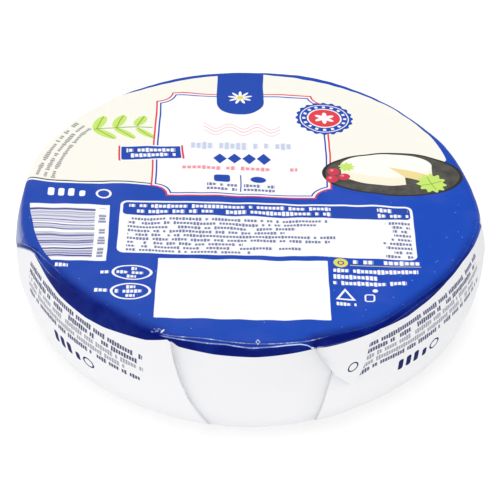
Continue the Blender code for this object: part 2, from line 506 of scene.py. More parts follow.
def lap_shade(kind, left, right, bearing, depth):
    """Share of painted shade on a lower layer close beside the edge of the layer over it."""
    from_left, from_right, start = edges_of_strip(left, right, bearing, depth)
    at_flap = fade_out(depth, FLAP_TIP[0] + FLAP_SHADE_END[0], FLAP_SHADE_END[1])[:, None] * start
    if kind == "narrow":
        upper = LAP_SHADE_UPPER[0] * np.exp(-((depth / LAP_SHADE_UPPER[1]) ** 2))[:, None]
        near = np.exp(-np.minimum(from_left, from_right) / LAP_SHADE_REACH)
        return LAP_SHADE_NARROW * (1.0 + upper) * near * start
    if kind == "under_flap":
        return np.exp(-from_right / (LAP_SHADE_REACH * FLAP_SHADE_REACH)) * at_flap
    if kind == "flap":
        valley = fade_out(depth, FLAP_UPPER_LEFT[0], VALLEY_FADE)[:, None] * start
        return VALLEY_SHADE * valley * np.exp(-from_left / VALLEY_WIDTH)
    if kind == "wide" and abs(left[0] - FLAP_RIGHT_EDGE[0][1]) < 1.0:
        share, reach = BESIDE_FLAP_SHADE
        return share * np.exp(-from_left / (LAP_SHADE_REACH * reach)) * at_flap
    return np.zeros(bearing.shape)


def strip_rise(kind, panel, left, right, bearing, depth):
    """Rise of an upper panel, or sink of a lower one, near the folds at its edges."""
    from_left, from_right, start = edges_of_strip(left, right, bearing, depth)
    valley = fade_out(depth, FLAP_UPPER_LEFT[0], VALLEY_FADE)[:, None]
    edge = np.minimum(from_left, from_right)
    if kind == "narrow":
        sink = LAP_SINK * np.maximum(1.0 - edge / LAP_SINK_FADE, 0.0) ** 2 * start
        if panel == 0:
            near = np.maximum(1.0 - from_right / LAP_SINK_FADE, 0.0)
            sink = sink * (1.0 - (1.0 - VALLEY_SINK / LAP_SINK) * valley * near)
        return -sink
    if kind == "under_flap":
        return np.broadcast_to(LAP_RISE * start, bearing.shape)
    if kind == "flap":
        above = fade_out(depth, FLAP_TIP[0] + FLAP_RISE_END[0], FLAP_RISE_END[1])[:, None]
        above = above * smooth_step(depth / FLAP_TIP[0])[:, None] ** 0.5
        rise = (LAP_RISE + FLAP_RISE * above) * start
        drop = valley * np.exp(-((from_left / VALLEY_WIDTH) ** 2))
        return rise - (rise + VALLEY_SINK * start) * drop
    return LAP_RISE * np.maximum(1.0 - edge / LAP_RISE_FADE, 0.0) ** 2 * start


def crease_rise(bearing, depth):
    """Two sharp folds along the top edge with a dip between them, strongest at the front."""
    upper = along_bearing(UPPER_CREASE, bearing)
    lower = along_bearing(LOWER_CREASE, bearing)
    front = crease_strength(bearing)
    ridge = np.exp(-(((depth - upper) / CREASE_SPREAD) ** 2))
    ridge = ridge + np.exp(-(((depth - lower) / CREASE_SPREAD) ** 2))
    dip = np.exp(-(((depth - (upper + lower) / 2.0) / (CREASE_SPREAD * DIP_SPREAD)) ** 2))
    return (CREASE_LIFT * ridge - CREASE_DIP * dip) * front


def crease_strength(bearing):
    """How sharp the folds along the top edge are at a bearing."""
    turned = turn_between(bearing, 0.0)
    front = CREASE_BEYOND + (1.0 - CREASE_BEYOND) * fade_out(turned, *CREASE_END)
    front = fade(turned, *CREASE_START) * front
    return np.maximum(front, CREASE_LEFT_SHARE * between(turned, *CREASE_LEFT))


def under_rise(bearing, radius, depth, side_depth, panels):
    """Steps of the folded paper under the wheel."""
    narrow = np.array([panel % 2 == 0 for panel in panels])[None, :]
    rise = STICKER_RISE * fade(radius, STICKER_RADIUS, STICKER_FADE)
    rise = rise + np.where(narrow, RECESS, 0.0) * fade(radius, POINT_RADIUS, POINT_FADE)
    return rise * fade(depth, side_depth, UNDER_FADE)


def wrap_mesh(name):
    """Spins a post whose height counts the outline's points, then shapes it into the wheel."""
    places, bearing, depth, shades, panels = sheet_grid()
    places[..., 2] *= min(1.0, cad_box[1][2] / places[..., 2].max())
    rows, turns = bearing.shape
    work = bmesh.new()
    post = []
    for row in range(rows):
        on_axis = row in (0, rows - 1)
        post.append(work.verts.new((0.0 if on_axis else 1.0, 0.0, float(row))))
    rails = [work.edges.new(pair) for pair in zip(post, post[1:])]
    bmesh.ops.spin(
        work,
        geom=post + rails,
        axis=(0.0, 0.0, 1.0),
        cent=(0.0, 0.0, 0.0),
        angle=2.0 * math.pi,
        steps=turns,
        use_merge=True,
    )
    bmesh.ops.remove_doubles(work, verts=work.verts, dist=1e-5)
    mesh = bpy.data.meshes.new(name)
    work.to_mesh(mesh)
    work.free()
    found = np.empty(len(mesh.vertices) * 3)
    mesh.vertices.foreach_get("co", found)
    found = found.reshape(-1, 3)
    row = np.rint(found[:, 2]).astype(int)
    column = np.rint(np.arctan2(found[:, 1], found[:, 0]) / (2.0 * math.pi) * turns).astype(int)
    column %= turns
    mesh.vertices.foreach_set("co", places[row, column].ravel())
    give_places(mesh, bearing[row, column], depth[row, column], panels[column])
    # Share of painted shade beside the edges of the upper layers
    layer = mesh.attributes.new("lap_shade", "FLOAT", "POINT")
    layer.data.foreach_set("value", shades[row, column].astype(np.float32))
    work = bmesh.new()
    work.from_mesh(mesh)
    bmesh.ops.recalc_face_normals(work, faces=work.faces)
    work.to_mesh(mesh)
    work.free()
    mesh.shade_smooth()
    mesh.set_sharp_from_angle(angle=math.radians(SHARP_ANGLE))
    return mesh


def give_places(mesh, bearing, depth, panel):
    """Writes what the print needs to know at each vertex: places on the sheet, in millimetres."""
    past_edge = depth - along_bearing(BLUE_EDGE, bearing)
    upper, lower, past_field = (
        (depth - along_bearing(places, bearing)) * MILLIMETRES
        for places in (UPPER_CREASE, LOWER_CREASE, FIELD_RIM)
    )
    creases = np.stack((upper, lower, crease_strength(bearing)), axis=-1)
    along = np.full(bearing.shape, -1000.0)
    millimetres_down = depth * MILLIMETRES
    down = millimetres_down
    length = np.zeros(bearing.shape)
    for number, (start, first, slope, reach) in SIDE_ROWS.items():
        flap = (panel == FLAP_PANEL) & (number == 1)
        here = (panel == number) | flap
        turned = bearing - start
        row = first + slope * turned
        if number == 1:
            drag = np.maximum(FLAP_DRAG_FROM - bearing, 0.0) ** FLAP_DRAG_POWER
            row = row + FLAP_DRAG * drag * smooth_step(depth / FLAP_DRAG_DEPTH)
        along = np.where(here, arc(turned) * MILLIMETRES, along)
        down = np.where(here, millimetres_down - row, down)
        length = np.where(here, np.where(flap, FLAP_MARK, reach), length)
    front = panel == 0
    along = np.where(front, arc(turn_between(bearing, HOOK[0])) * MILLIMETRES, along)
    down = np.where(front, millimetres_down, down)
    rows = np.stack((along, down, length), axis=-1)
    floats = {
        "past_edge": past_edge * MILLIMETRES,
        "past_field": past_field,
        "side_depth": millimetres_down,
        "turn_down_shade": turn_down_shade(bearing, depth, past_edge),
        "left_sheen": left_sheen(bearing, depth),
    }
    for title, values in floats.items():
        layer = mesh.attributes.new(title, "FLOAT", "POINT")
        layer.data.foreach_set("value", values.astype(np.float32))
    for title, values in (("creases", creases), ("side_place", rows)):
        layer = mesh.attributes.new(title, "FLOAT_VECTOR", "POINT")
        layer.data.foreach_set("vector", values.astype(np.float32).ravel())


def turn_down_shade(bearing, depth, past_edge):
    """How much painted shade darkens the blue where the sheet turns down, strongest round the
    front.
    """
    turned = turn_between(bearing, 0.0)
    soft = fade(depth, *TURN_SHADE_SOFT)
    step = fade(depth, along_bearing(LOWER_CREASE, bearing), TURN_SHADE_STEP)
    sharp = TURN_SHADE_SHARP_SHARE * fade(depth, *TURN_SHADE_SHARP) + (1.0 - TURN_SHADE_SHARP_SHARE) * step
    turn_shade = soft + (sharp - soft) * between(turned, *TURN_SHADE_FRONT)
    turn_shade = turn_shade * (TURN_SHADE_BACK + (1.0 - TURN_SHADE_BACK) * between(turned, *TURN_SHADE_AROUND))
    strip = TURN_SHADE_STRIP_SHARE * between(turned, *TURN_SHADE_STRIP)
    return np.maximum(turn_shade, strip * fade(past_edge, *TURN_SHADE_STRIP_EDGE))


def left_sheen(bearing, depth):
    """How much painted sheen makes the blue pale low on the left side."""
    away = np.abs(turn_between(bearing, LEFT_SHEEN_BEARING))
    return LEFT_SHEEN_SHARE * fade_out(away, *LEFT_SHEEN_REACH) * fade(depth, *LEFT_SHEEN_DEPTH)


def colour(red, green, blue):
    """Linear colour of a swatch given in screen values from 0 to 255."""
    linear = []
    for value in (red, green, blue):
        share = value / 255.0
        linear.append(share / 12.92 if share <= 0.04045 else ((share + 0.055) / 1.055) ** 2.4)
    return (*linear, 1.0)


PAPER = colour(236, 236, 238)
BLUE = colour(38, 74, 172)
BLUE_RIGHT = colour(24, 73, 182)
# Painted shade beside the edges of the upper layers
LAP_SHADE = colour(206, 209, 213)
CLOUD = colour(86, 98, 196)
# Painted shade for the blue where the sheet turns down
SHADED_BLUE = colour(1, 18, 106)
CREAM = colour(241, 239, 229)
LABEL_WHITE = colour(244, 244, 246)
NAVY = colour(18, 26, 92)
MIST = colour(112, 118, 158)
PALE_BLUE = colour(196, 204, 226)
RED = colour(222, 66, 78)
PINK = colour(240, 176, 180)
ROW_PINK = colour(236, 150, 158)
YELLOW = colour(226, 214, 86)
GREY_INK = colour(104, 106, 112)
GREY_LINE = colour(66, 70, 76)
LEAF = colour(196, 226, 112)
LEAF_DARK = colour(128, 172, 64)
SLATE = (colour(36, 36, 36), colour(108, 106, 98))
SLATE_EDGE = colour(48, 48, 48)
RIND = colour(250, 247, 238)
RIND_SIDE = colour(243, 236, 214)
CHEESE = colour(236, 214, 150)
BERRY = colour(206, 62, 84)
BAR_BLUE = colour(58, 60, 138)
BAR_PALE = colour(122, 122, 190)
BAR_MARK = colour(96, 98, 150)
SPECK = colour(170, 186, 232)
# Worn ink and painted highlight along the folds of the top edge, and painted glints
WEAR_AND_HIGHLIGHT = colour(206, 220, 255)
GLINT = colour(232, 238, 252)

# Print layout on the top of the sheet, in millimetres from the middle of the wheel. A block
# of rows is given as its centre, half width, number of rows, their pitch, the width and height
# of a letter, and a seed. A patch is given as its centre, half size and corner radius.
PRINT_SOFT = 0.10
ROW_SHIFT = 0.37
LETTER_SHARE = 0.66
LETTER_GAP_INK = 0.30
WORD_GAP = 0.17
TALL_FROM = 0.72
TALL_LIFT = 0.09
SHEET_WAVES = (75.0, 1.0)
SHEET_SHIFT = (0.9, 2.6)
OTHER_NOISE = (0.3, 0.7, 0.0)
FIELD_CUT_SLOPE = 0.56
FIELD_CUT = 49.4
FIELD_BESIDE = (22.0, 8.0)
FIELD_EDGE = 3.9
FIELD_SLOPE = -0.026
FIELD_LINES = ((-1.20, LABEL_WHITE), (-0.42, GREY_LINE), (0.14, CREAM))
RIM_ROWS = ((21.5, 62.6), 14.8, 3, 2.5, 0.95, 1.0, 3.0)
RIM_ROWS_RADIUS = 63.0
RIM_ROWS_INK = 0.75

PLAQUE_CENTRE = (-2.6, 26.4)
PLAQUE_HALF = (27.6, 28.2)
PLAQUE_SCOOP = 5.0
PLAQUE_RED_LINE = 0.55
PLAQUE_BLUE_LINE = (-1.75, -1.25)
PLAQUE_HEADING = ((-2.7, 25.2), 15.6, 1, 5.1, 1.75, 2.9, 5.0)
PLAQUE_ROW = ((-3.2, 12.9), 17.6, 1, 2.9, 1.5, 1.6, 8.0)
PLAQUE_NOTES = (((-8.6, 3.1), 4.6, 2, 2.05, 1.1, 1.15, 12.0),
                ((2.8, 3.1), 4.8, 2, 2.05, 1.1, 1.15, 15.0))
PLAQUE_PILL = ((-8.6, 7.4), (2.5, 1.8), 0.9)
PLAQUE_RULE = ((-2.9, 5.2), (0.18, 4.2), 0.1)
PLAQUE_DROP = ((2.4, 7.4), (2.4, 1.6))
DIAMONDS_CENTRE = (-2.6, 18.2)
DIAMONDS_REACH = 9.0
DIAMOND_HALF = 2.7
DIAMOND_STEP = 2.25
DIAMOND_SLOPE = 1.25
WAVES_CENTRE = (-2.6, 34.2)
WAVES_HALF = (12.0, 4.0)
WAVE_TURN = 0.72
WAVE_HEIGHT = 1.3
WAVE_LINES = ((-0.20, 0.20), (1.5, 1.8), (-2.0, -1.7))

TAB = ((-3.2, 60.0), (7.6, 17.6), 7.4)
DAISY_CENTRE = (-3.2, 52.6)
DAISY_PETALS = (2.7, 1.25, 9)
DAISY_HEART = 1.15
SEAL_CENTRE = (23.6, 41.6)
SEAL_SCALLOPS = (8.9, 0.35, 20)
SEAL_RING = (7.5, 7.85)
SEAL_DISCS = ((5.5, LABEL_WHITE), (5.0, RED))
SEAL_TICKS = 16.0
SEAL_TICK_FROM = 0.35
SEAL_TICK_BAND = (6.0, 7.0)
SEAL_PETALS = (2.4, 0.85, 6)
RIBBON_CENTRE = (-30.6, 20.4)
RIBBON_HALF = (9.2, 3.3)
RIBBON_RIM_HALF = (10.1, 3.8)
RIBBON_CORNER = 0.4
RIBBON_END = 9.5
RIBBON_TURN = 5.0
RIBBON_ROWS = (RIBBON_CENTRE, 7.6, 2, 2.6, 1.3, 1.5, 21.0)

SPRIG_ROOT = (-49.5, 32.0)
SPRIG_TURN = 17.0
SPRIG_LENGTH = 18.6
SPRIG_BEND = -0.010
SPRIG_JOINT = 6.3
LEAF_TAPER = (-0.016, 1.12)
LEAF_SLANT = -0.62
LEAF_BACK = 2.1
LEAF_OUT = 3.4
LEAF_HALF = (2.0, 3.3)
VEIN_HALF = 0.10
STEM_HALF = 0.22

BOARD_CENTRE = (43.6, 11.8)
BOARD_RADII = (21.6, 11.4)
BOARD_GRAIN = (0.35, 4.0)
BOARD_RIM = 0.55
WHEEL_CENTRE = (42.0, 16.2)
WHEEL_RADII = (14.0, 6.2)
WHEEL_DROP = 4.4
WHEEL_CORNER = 0.2
WEDGE_LOWER_SLOPE = -0.33
WEDGE_UPPER_SLOPE = 1.10
WEDGE_REACH = 5.6
WEDGE_RIND = 0.45
BERRY_CENTRES = ((25.6, 12.6), (28.8, 9.8), (25.0, 8.7))
BERRY_RADIUS = 1.9
BERRY_LIGHT = (-0.5, 0.7)
BERRY_LIGHT_RADIUS = 0.55
BERRY_LIGHT_INK = 0.6
BOARD_LEAVES = (((55.4, 7.6), 4.1, 0.55, 11), ((29.8, 15.4), 2.2, 0.4, 9))
LEAF_VEINS = ((3.4, 0.14), (0.14, 3.2))
LEAF_VEIN_TURN = 20.0
THIN_CORNER = 0.1

BAR_FIELD = ((-54.6, -20.6), (13.2, 13.4))
BAR_FIELD_TURN = 1.0
BAR_CUT = ((-0.4, -1.2), 65.2)
BAR_HALF = (13.2, 11.9)
BAR_RIGHT = -45.6
BAR_PITCHES = (2.9, 0.62)
BAR_FROM = (0.50, 0.42)
DARK_BAR_FROM = 0.80
DARK_BAR_INK = (0.50, 0.48)
BROAD_BAR_INK = 0.30
BAR_MARKS = ((39.4, 16.6), 11.6, 1, 2.4, 1.35, 1.8, 31.0)
BAR_MARKS_SHIFT = 60.0
BAR_MARKS_INK = 0.8

PANEL = ((4.9, -17.4), (43.5, 12.7), 2.2)
PANEL_HEADING = ((4.9, -8.55), (42.7, 3.05), 1.5)
PANEL_HEADING_ROWS = (((-6.0, -8.5), 30.0, 2, 2.6, 1.2, 1.4, 41.0),
                      ((42.4, -8.5), 4.6, 2, 2.6, 1.2, 1.4, 43.0))
PANEL_PITCH = 1.9
PANEL_FOOT = 29.65
PANEL_LEFT_ROWS = ((-3.0, -21.1), 33.0, 9, PANEL_PITCH, 0.95, 0.98, 45.0)
PANEL_LEFT_ENDS = (-34.0, 30.0)
PANEL_RIGHT_ROWS = ((42.6, -21.1), 4.6, 9, PANEL_PITCH, 0.95, 0.98, 47.0)
PANEL_RIGHT_STARTS = (4.5, 38.0)

BLANK_BOX = ((-2.1, -45.2), (24.4, 13.1))
OVAL_CENTRES = ((-33.5, -38.8), (-33.4, -47.2))
OVAL_RADII = (5.8, 3.5)
OVAL_LINE = (-0.45, 0.0)
OVAL_PITCH = 1.9

# Rows in and beside each oval: place from its centre, half width, letter width and height, seed
OVAL_ROWS = (
    ((0.0, 1.9), 1.3, 1.1, 1.1, 50.0),
    ((0.0, 0.0), 4.4, 1.1, 1.2, 53.0),
    ((0.0, -1.9), 1.3, 1.1, 1.1, 56.0),
    ((-8.4, 0.0), 1.9, 1.3, 1.3, 59.0),
)

# Single rows on the blue front: centre, half width, pitch, and width and height of a letter
FRONT_ROWS = (
    ((-53.8, -36.2), 1.8, 2.2, 1.1, 1.3),
    ((39.2, -31.9), 9.6, 2.8, 1.5, 1.75),
    ((36.0, -36.2), 12.2, 2.4, 1.15, 1.35),
    ((30.0, -38.8), 6.2, 2.4, 1.15, 1.35),
    ((34.0, -41.4), 10.4, 2.4, 1.15, 1.35),
    ((26.9, -50.6), 2.8, 2.2, 1.0, 1.2),
)
FRONT_PILLS = tuple(((left, -0.75), (0.95, 2.0), 0.7) for left in (-59.8, -56.7, -53.6))
FRONT_SMALL_PILL = ((-50.2, -1.5), (0.9, 1.5), 0.7)
RING_CENTRE = (-43.8, -1.2)
RING_BAND = (1.7, 2.35)
TRIANGLE_CENTRE = (26.8, -47.2)
TRIANGLE_SLOPE = 1.7
TRIANGLE_TOP = 3.4
TRIANGLE_SLANT = 0.5
TRIANGLE_FOOT = 1.5
TRIANGLE_LINE = (-0.6, 0.0)
FRAME = ((33.6, -47.6), (1.5, 1.8), 0.9)
FRAME_LINE = (-0.45, 0.0)
FRAME_DOT = ((35.2, -44.2), 0.75)
YELLOW_DISC = ((26.0, -32.6), 2.1)
YELLOW_DISC_RING = (-1.5, -1.1)
UNDERLINE = ((38.9, -33.6), (10.2, 0.14), 0.1)

# Print on the side panels, from where their rows begin
SIDE_PITCH = 2.06
SIDE_LETTER = (0.86, 1.30)
SIDE_SEED = 61.0
SIDE_STARTS = 1.6
SIDE_ENDS = -8.0
SIDE_BLOCK = 10.3
SIDE_THIN_ROWS = 6.2
SIDE_INK = (-0.34, 0.92)
SIDE_SIGNS = (
    *(((left, 14.6), (0.9, 2.1), 0.7) for left in (15.8, 18.7, 21.6)),
    ((25.0, 15.2), (0.85, 1.5), 0.7),
)
SIDE_RING = ((29.2, 14.8), (2.1, 1.9))
SIDE_RING_LINE = (-0.55, 0.0)
FLAP_SIGN = ((-0.9, 4.9), (1.6, 1.2))
FLAP_SIGN_LINE = (-0.3, 0.0)

# Wear and painted highlights on the blue. A grain is given as its waves for each metre and its
# detail, and a ramp as the values where it begins and ends.
PATCH_GRAIN = (330.0, 3.0)
PATCH_RAMP = (0.40, 0.62)
CRUMB_GRAIN = (1400.0, 2.0)
CRUMB_RAMP = (0.36, 0.58)
BRIGHT_CRUMB_RAMP = (0.85, 1.0)
UPPER_LINE_RAMP = (0.20, 0.05)
UPPER_LINE_SHARE = (0.62, 0.20)
LOWER_LINE_RAMP = (0.22, 0.08)
LOWER_LINE_SHARE = (0.60, 0.36)
BEFORE_HOOK_RAMP = (-13.5, -9.5)
PAST_HOOK_RAMP = (0.3, 0.0)
WEAR_AND_HIGHLIGHT_SHARE = 0.95
GLINT_SHARE = 0.8
DIAMOND_GLINT = (-15.2, -0.55)
DIAMOND_GLINT_SLOPE = 0.75
DIAMOND_GLINT_LINE = (0.40, 0.66)
DIAMOND_GLINT_SHARE = (0.6, 0.4)
HOOK_GLINT = ((-0.15, HOOK[1]), (0.42, 0.30))
CORNER_GLINTS = ((-25.6, -63.4), (1.5, 0.7))
CORNER_GLINTS_INK = 0.35
CORNER_GLINT_SPOT = ((-23.7, -63.9), (0.30, 0.80))
CORNER_GLINT_TURN = -38.0
SPECKS_EACH_METRE = 430.0
SPECK_SIZE = 0.075
SPECK_FROM = 0.55
SPECK_INK = 0.55

# Finish of the sheet
LEFT_TO_RIGHT_RAMP = (-60.0, 62.0)
CLOUD_GRAIN = (85.0, 4.0)
CLOUD_RAMP = (0.42, 0.72)
CLOUD_INK = 0.16
# Grain and spread that make the painted shade where the sheet turns down uneven
TURN_SHADE_GRAIN = (130.0, 3.0)
TURN_SHADE_UNEVEN = (0.8, 0.58)
LAP_SHADE_SHARE = 0.62
FINE_GRAIN = (1500.0, 2.0)
ROUGHNESS = 0.30
BARE_ROUGHER = 0.16
FINE_ROUGHER = 0.10
SPECULAR = 0.05
SOFT_GRAIN = (210.0, 3.0)
RIM_RAMP = (6.5, 0.5)
RIM_DENTS = 3.0
SOFT_DENTS = 0.5
FINE_DENTS = 0.12
BUMP_STRENGTH = 0.35
BUMP_DISTANCE = 0.0002


class Printer:
    """Builds the nodes of a print. Lengths are in millimetres."""

    def __init__(self, tree):
        self.tree = tree
        self.rows_tree = None
        self.shade = PAPER

    def node(self, kind, **settings):
        found = self.tree.nodes.new("ShaderNode" + kind)
        for title, value in settings.items():
            setattr(found, title, value)
        return found

    def feed(self, socket, value):
        if isinstance(value, bpy.types.NodeSocket):
            self.tree.links.new(value, socket)
        elif isinstance(value, tuple) and len(value) == 2:
            socket.default_value = (value[0], value[1], 0.0)
        else:
            socket.default_value = value

    def fed(self, kind, values, **settings):
        """A node with values fed to its first sockets in turn."""
        node = self.node(kind, **settings)
        for socket, value in zip(node.inputs, values):
            self.feed(socket, value)
        return node

    def maths(self, operation, *values):
        return self.fed("Math", values, operation=operation).outputs[0]

    plus = partialmethod(maths, "ADD")
    minus = partialmethod(maths, "SUBTRACT")
    times = partialmethod(maths, "MULTIPLY")
    over = partialmethod(maths, "DIVIDE")
    scaled = partialmethod(maths, "MULTIPLY_ADD")
    size = partialmethod(maths, "ABSOLUTE")
    whole = partialmethod(maths, "FLOOR")
    larger = partialmethod(maths, "MAXIMUM")
    more = partialmethod(maths, "GREATER_THAN")
    less = partialmethod(maths, "LESS_THAN")

    def ramp(self, value, first, last):
        """Share of the way from one value to another, eased at both ends."""
        values = (value, first, last)
        settings = {"interpolation_type": "SMOOTHSTEP", "clamp": False}
        return self.fed("MapRange", values, **settings).outputs[0]

    def vector(self, operation, *values):
        node = self.fed("VectorMath", values, operation=operation)
        scalar = operation in ("LENGTH", "DOT_PRODUCT", "DISTANCE")
        return node.outputs["Value" if scalar else "Vector"]

    from_place = partialmethod(vector, "SUBTRACT")
    length = partialmethod(vector, "LENGTH")

    def attribute(self, title, output="Fac"):
        return self.node("Attribute", attribute_name=title).outputs[output]

    def parts(self, vector):
        return self.fed("SeparateXYZ", (vector,)).outputs[:]

    def flat(self, place):
        """The measures of a place across the sheet and along it."""
        return tuple(self.vector("DOT_PRODUCT", place, way) for way in ((1.0, 0.0), (0.0, 1.0)))

    def join(self, x, y, z=0.0):
        return self.fed("CombineXYZ", (x, y, z)).outputs[0]

    def mix(self, share, first, second):
        node = self.node("Mix", data_type="RGBA")
        self.feed(node.inputs["Factor"], share)
        self.feed(node.inputs[6], first)
        self.feed(node.inputs[7], second)
        return node.outputs[2]

    def paint(self, share, ink):
        """Lays an ink over the print so far."""
        self.shade = self.mix(share, self.shade, ink)

    def noise(self, vector, scale, detail):
        node = self.node("TexNoise")
        self.feed(node.inputs["Vector"], vector)
        node.inputs["Scale"].default_value = scale
        node.inputs["Detail"].default_value = detail
        return node.outputs[0]

    def random(self, vector):
        """An uneven share for each whole-numbered place."""
        swing = self.maths("SINE", self.vector("DOT_PRODUCT", vector, (12.9898, 78.233, 37.719)))
        return self.maths("FRACT", self.times(swing, 4375.85))

    def turned(self, place, centre, degrees):
        """Places seen from a point, after a turn."""
        node = self.node("VectorRotate", rotation_type="Z_AXIS")
        self.feed(node.inputs["Vector"], place)
        self.feed(node.inputs["Center"], centre)
        node.inputs["Angle"].default_value = math.radians(-degrees)
        return node.outputs[0]

    def box(self, place, centre, half, corner=0.3):
        """Distance outside a box with round corners."""
        inner = (half[0] - corner, half[1] - corner, 1000.0)
        away = self.vector("ABSOLUTE", self.from_place(place, centre))
        away = self.vector("MAXIMUM", self.vector("SUBTRACT", away, inner), (0.0, 0.0))
        return self.minus(self.length(away), corner)

    def patch(self, place, centre, half, corner=0.3):
        """Share inside a box with round corners."""
        return self.inside(self.box(place, centre, half, corner))

    def oval(self, place, centre, radii):
        """Distance outside an oval, told by its shorter radius."""
        away = self.vector("DIVIDE", self.from_place(place, centre), (*radii, 100000.0))
        return self.scaled(self.length(away), min(radii), -min(radii))

    def disc(self, place, centre, radius):
        return self.minus(self.vector("DISTANCE", place, centre), radius)

    def rosette(self, place, centre, radius, wave, lobes):
        """Distance outside a disc whose edge waves in and out."""
        away = self.from_place(place, centre)
        turn = self.times(self.maths("ARCTAN2", *self.flat(away)), float(lobes))
        edge = self.scaled(self.maths("COSINE", turn), wave, radius)
        return self.minus(self.length(away), edge)

    def inside(self, distance, edge=0.0):
        return self.ramp(distance, edge + PRINT_SOFT / 2.0, edge - PRINT_SOFT / 2.0)

    def above(self, value, limit):
        return self.ramp(value, limit - PRINT_SOFT / 2.0, limit + PRINT_SOFT / 2.0)

    def band(self, distance, first, last):
        """Share inside a line drawn between two distances from an edge."""
        away = self.size(self.minus(distance, (first + last) / 2.0))
        return self.inside(away, (last - first) / 2.0)

    def both(self, *shares):
        found = shares[0]
        for share in shares[1:]:
            found = self.times(found, share)
        return found

    def either(self, *shares):
        found = shares[0]
        for share in shares[1:]:
            found = self.larger(found, share)
        return found

    def dashes(self, place, pitch, letter, height, seed):
        """Rows of small blocks in groups of uneven length, like print seen from afar."""
        x, y = self.flat(place)
        across = self.over(y, pitch)
        row = self.whole(across)
        along = self.scaled(row, ROW_SHIFT, self.over(x, letter))
        draw = self.random(self.join(self.whole(along), row, seed))
        lift = self.times(self.more(draw, TALL_FROM), TALL_LIFT)
        middle = self.size(self.minus(self.maths("FRACT", across), 0.5))
        half = self.over(self.times(height, 0.5), pitch)
        in_row = self.less(middle, self.plus(lift, half))
        in_letter = self.less(self.maths("FRACT", along), LETTER_SHARE)
        in_letter = self.scaled(in_letter, 1.0 - LETTER_GAP_INK, LETTER_GAP_INK)
        return self.both(in_row, in_letter, self.more(draw, WORD_GAP))

    def rows(self, place, centre, half_width, count, pitch, letter, height, seed):
        """A block of rows about a centre."""
        if self.rows_tree is None:
            self.rows_tree = rows_tree("block_of_rows")
        half = count * pitch / 2.0
        corner = (centre[0] - half_width, centre[1] - half)
        values = (place, corner, 2.0 * half_width, 2.0 * half, pitch, letter, height, seed)
        return self.fed("Group", values, node_tree=self.rows_tree).outputs[0]


def rows_tree(name):
    """Nodes of a block of rows, measured from its lower left corner."""
    tree = bpy.data.node_groups.new(name, "ShaderNodeTree")
    for title in ("Place", "Corner", "Width", "Depth", "Pitch", "Letter", "Height", "Seed"):
        kind = "NodeSocketVector" if title in ("Place", "Corner") else "NodeSocketFloat"
        tree.interface.new_socket(title, in_out="INPUT", socket_type=kind)
    tree.interface.new_socket("Share", in_out="OUTPUT", socket_type="NodeSocketFloat")
    p = Printer(tree)
    given = tree.nodes.new("NodeGroupInput").outputs
    local = p.vector("SUBTRACT", given["Place"], given["Corner"])
    ink = p.dashes(local, given["Pitch"], given["Letter"], given["Height"], given["Seed"])
    x, y = p.flat(local)
    across = p.both(p.more(x, 0.0), p.less(x, given["Width"]))
    along = p.both(p.more(y, 0.0), p.less(y, given["Depth"]))
    tree.links.new(p.both(ink, across, along), tree.nodes.new("NodeGroupOutput").inputs[0])
    return tree


def sheet_place(p):
    """Places on the top of the sheet in millimetres, a little uneven as paper on cheese is."""
    coordinates = p.node("TexCoord").outputs["Object"]
    elsewhere = p.vector("ADD", coordinates, OTHER_NOISE)
    shifts = [
        p.scaled(p.noise(start, *SHEET_WAVES), shift, -shift / 2.0)
        for start, shift in zip((coordinates, elsewhere), SHEET_SHIFT)
    ]
    scale = (MILLIMETRES, MILLIMETRES, 0.0)
    return coordinates, p.vector("MULTIPLY_ADD", coordinates, scale, p.join(*shifts))


def print_fields(p, place):
    """Cream field at the back, with a white and a dark line along its lower edge."""
    x, y = p.flat(place)
    line = p.minus(y, p.scaled(x, FIELD_SLOPE, FIELD_EDGE))
    cut = p.scaled(y, -FIELD_CUT_SLOPE, x)
    beside = p.larger(p.minus(FIELD_BESIDE[0], x), p.minus(y, FIELD_BESIDE[1]))
    rim = p.inside(p.attribute("past_field"))
    field = p.both(rim, p.inside(cut, FIELD_CUT), p.above(beside, 0.0))
    for start, ink in FIELD_LINES:
        p.paint(p.both(field, p.above(line, start)), ink)


def print_sprig(p, place):
    """Green sprig on the cream field: a bent stem with a leaf each way at every joint."""
    turned = p.turned(place, SPRIG_ROOT, SPRIG_TURN)
    x, y = p.flat(p.from_place(turned, SPRIG_ROOT))
    spread = p.size(p.minus(y, p.times(p.times(x, x), SPRIG_BEND)))
    span = p.both(p.above(x, 0.0), p.above(p.times(x, -1.0), -SPRIG_LENGTH))
    along = p.maths("MODULO", p.plus(x, SPRIG_JOINT), SPRIG_JOINT)
    along = p.plus(p.minus(along, SPRIG_JOINT / 2.0), LEAF_BACK)
    leaf_x = p.over(p.scaled(spread, LEAF_SLANT, along), LEAF_HALF[0])
    leaf_y = p.over(p.minus(spread, LEAF_OUT), LEAF_HALF[1])
    reach = p.length(p.join(leaf_x, leaf_y))
    leaf = p.both(p.inside(p.minus(reach, p.scaled(x, *LEAF_TAPER))), span)
    vein = p.inside(p.size(leaf_x), VEIN_HALF)
    p.paint(leaf, p.mix(vein, LEAF, LEAF_DARK))
    p.paint(p.both(p.inside(spread, STEM_HALF), span), LEAF_DARK)


def print_rim_rows(p, place):
    """Small grey rows that follow the rim at the left."""
    x, y = p.flat(place)
    radius = p.length(p.join(x, y))
    turn = p.times(p.maths("ARCTAN2", y, p.times(x, -1.0)), RIM_ROWS_RADIUS)
    rows = p.rows(p.join(turn, radius), *RIM_ROWS)
    p.paint(p.times(rows, RIM_ROWS_INK), GREY_INK)


